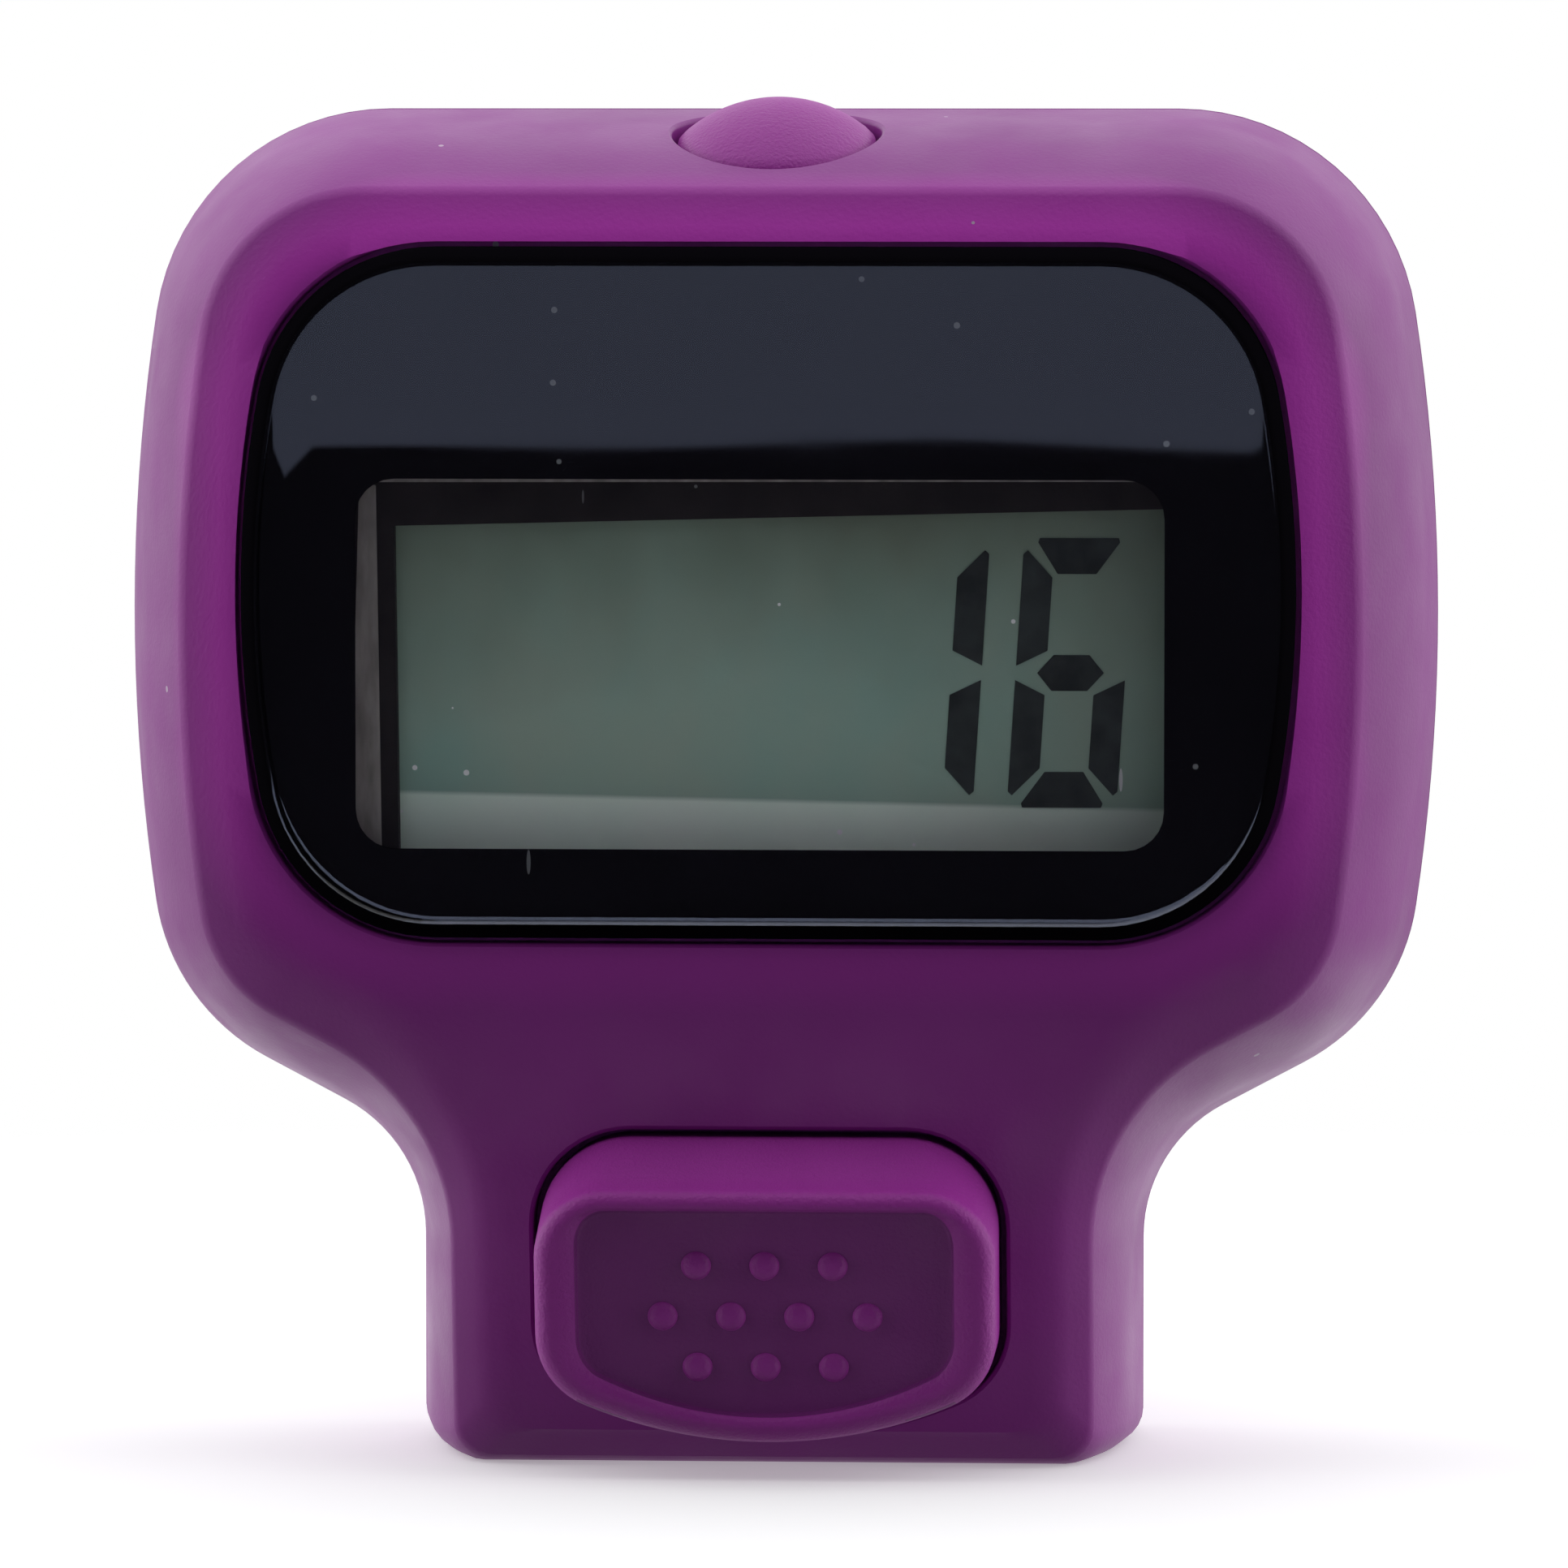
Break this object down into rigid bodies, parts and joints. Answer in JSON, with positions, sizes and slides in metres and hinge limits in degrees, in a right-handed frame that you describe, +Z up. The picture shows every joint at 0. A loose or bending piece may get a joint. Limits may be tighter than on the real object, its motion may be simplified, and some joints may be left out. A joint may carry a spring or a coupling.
{
  "type": "finger tally counter",
  "caption": "Small electronic tally counter worn on a finger, with a wide display head, a large count button on its neck, a small reset button on top and an adjustable finger strap.",
  "frame": {"origin": "middle of the flat foot at the lower end of the neck", "axes": "+X to the right as the display is read, +Y from the face to the back, +Z up the face"},
  "size_m": [0.0372, 0.033, 0.0385],
  "materials": {
    "case_plastic": "satin moulded purple plastic",
    "button_plastic": "satin moulded purple plastic, slightly redder",
    "strap_rubber": "soft matt purple silicone rubber",
    "lens_acrylic": "clear polished acrylic over a black mask",
    "mask_ink": "black screen ink behind clear film",
    "holder_plastic": "dark brown moulded plastic",
    "polarizer_film": "grey-green film",
    "cell_glass": "clear display glass",
    "reflector_film": "grey-green reflective film",
    "zebra_rubber": "striped conductive rubber",
    "circuit_board": "green solder mask",
    "black_epoxy": "black epoxy",
    "capacitor_ceramic": "tan ceramic",
    "switch_plastic": "black moulded plastic",
    "bright_steel": "zinc-plated steel",
    "battery_steel": "bright nickel-plated steel",
    "spring_brass": "bright stamped brass"
  },
  "bodies": {
    "case": {"front_case": "case_plastic", "rear_case": "case_plastic", "display_lens": "lens_acrylic", "lens_mask": "mask_ink", "lcd_holder": "holder_plastic", "lcd_front_polarizer": "polarizer_film", "lcd_front_glass": "cell_glass", "lcd_rear_glass": "cell_glass", "lcd_reflector": "reflector_film", "zebra_connector": "zebra_rubber", "main_board": "circuit_board", "chip_blob": "black_epoxy", "capacitor": "capacitor_ceramic", "resistor": "black_epoxy", "count_switch_body": "switch_plastic", "count_switch_cover": "bright_steel", "reset_switch_body": "switch_plastic", "reset_switch_frame": "bright_steel", "battery": "battery_steel", "battery_contact_positive": "spring_brass", "battery_contact_negative": "spring_brass", "case_screw_1": "bright_steel", "case_screw_2": "bright_steel", "case_screw_3": "bright_steel", "case_screw_4": "bright_steel", "board_screw_1": "bright_steel", "board_screw_2": "bright_steel", "board_screw_3": "bright_steel", "board_screw_4": "bright_steel", "strap_peg_half": "strap_rubber", "strap_hole_half": "strap_rubber"},
    "count_key": {"count_button": "button_plastic"},
    "count_plunger": {"count_switch_plunger": "switch_plastic"},
    "reset_key": {"reset_button": "button_plastic"},
    "reset_plunger": {"reset_switch_plunger": "switch_plastic"},
    "battery_door": {"battery_cover": "case_plastic", "battery_cover_screw": "bright_steel"}
  },
  "joints": [
    {"name": "count_press", "type": "slide", "parent": "case", "child": "count_key", "axis": [0, 1, 0], "range_m": [0, 0.0008], "stiffness_N_per_m": 900, "springref_m": -0.0003},
    {"name": "count_plunger_press", "type": "slide", "parent": "case", "child": "count_plunger", "axis": [0, 1, 0], "range_m": [0, 0.0006]},
    {"name": "reset_press", "type": "slide", "parent": "case", "child": "reset_key", "axis": [0, 0, -1], "range_m": [0, 0.0005], "stiffness_N_per_m": 1200, "springref_m": -0.0003},
    {"name": "reset_plunger_press", "type": "slide", "parent": "case", "child": "reset_plunger", "axis": [0, 0, -1], "range_m": [0, 0.0004]},
    {"name": "battery_door_pull", "type": "slide", "parent": "case", "child": "battery_door", "axis": [0, 1, 0], "range_m": [0, 0.006]}
  ],
  "couplings": [
    {"joint": "count_plunger_press", "follows": "count_press", "ratio": 0.7},
    {"joint": "reset_plunger_press", "follows": "reset_press", "ratio": 0.7}
  ]
}
